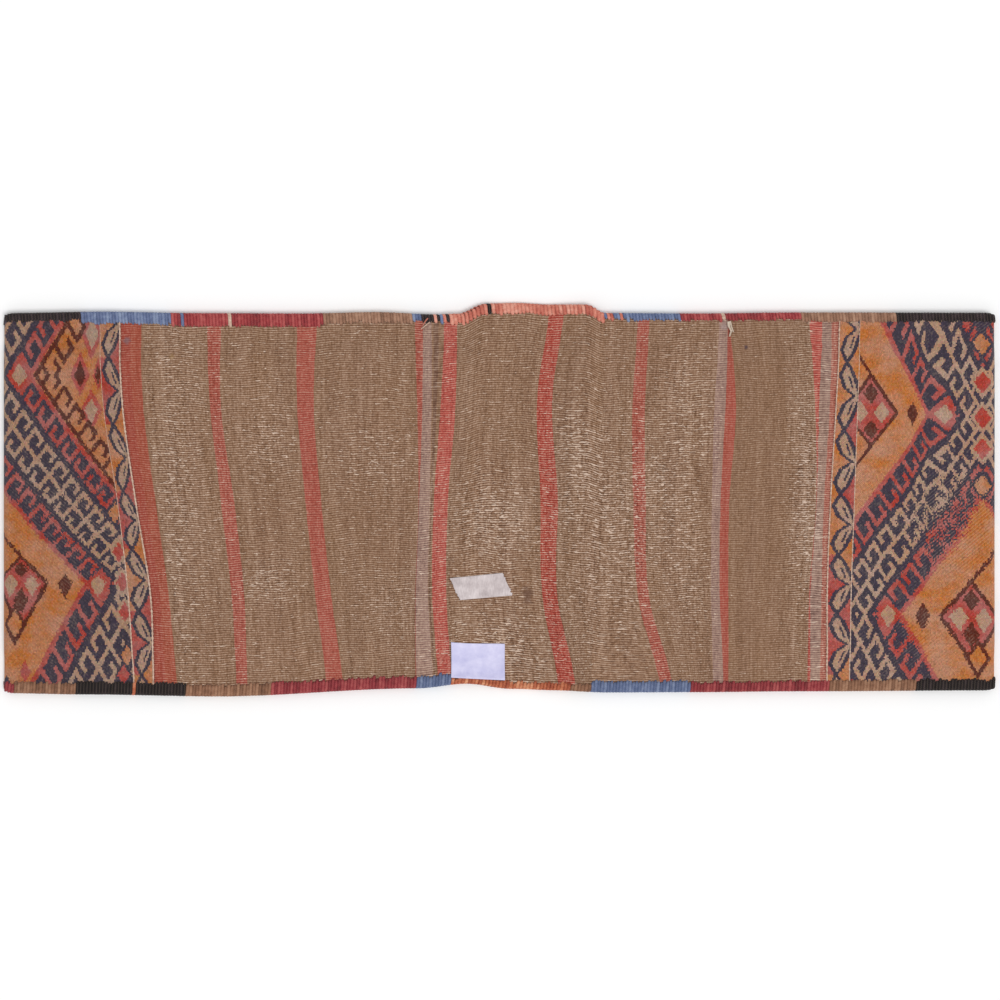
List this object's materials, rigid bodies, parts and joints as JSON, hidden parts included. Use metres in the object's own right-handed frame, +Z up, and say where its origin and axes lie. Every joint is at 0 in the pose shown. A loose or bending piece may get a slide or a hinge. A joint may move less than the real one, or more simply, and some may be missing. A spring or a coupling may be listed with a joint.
{
  "type": "kilim saddle bag",
  "caption": "Flat-woven wool double saddle bag lying face down: a striped back between two flat pouches with wrapped-weave ends, long sides oversewn in coloured wool.",
  "frame": {"origin": "centre of the bag's outline, on the surface it lies on", "axes": "+X along the bag to the right as its back is seen, +Y across it, +Z up from the surface through the back"},
  "size_m": [1.2, 0.4777, 0.0181],
  "materials": {
    "woven_wool": "weft-faced plain weave in brown wool with red and mauve stripes, wrapped weave in orange, navy, red and beige at the ends",
    "binding_black": "overcast wool yarn, matt",
    "binding_blue": "overcast wool yarn, matt",
    "binding_dark_red": "overcast wool yarn, matt",
    "binding_brown": "overcast wool yarn, matt",
    "binding_orange": "overcast wool yarn, matt",
    "paper_tape": "creped paper tape, bare",
    "label_satin": "woven satin label, bare"
  },
  "bodies": {
    "root": {"woven_cloth": "woven_wool", "upper_binding_01_black": "binding_black", "upper_binding_02_blue": "binding_blue", "upper_binding_03_dark_red": "binding_dark_red", "upper_binding_04_brown": "binding_brown", "upper_binding_05_blue": "binding_blue", "upper_binding_06_black": "binding_black", "upper_binding_07_orange": "binding_orange", "upper_binding_08_blue": "binding_blue", "upper_binding_09_dark_red": "binding_dark_red", "upper_binding_10_brown": "binding_brown", "upper_binding_11_black": "binding_black", "lower_binding_01_dark_red": "binding_dark_red", "lower_binding_02_brown": "binding_brown", "lower_binding_03_black": "binding_black", "lower_binding_04_brown": "binding_brown", "lower_binding_05_dark_red": "binding_dark_red", "lower_binding_06_blue": "binding_blue", "lower_binding_07_orange": "binding_orange", "lower_binding_08_blue": "binding_blue", "lower_binding_09_dark_red": "binding_dark_red", "lower_binding_10_brown": "binding_brown", "lower_binding_11_black": "binding_black", "left_mouth_binding": "binding_brown", "right_mouth_binding": "binding_brown", "tape_strip": "paper_tape", "cloth_label": "label_satin"}
  },
  "joints": []
}
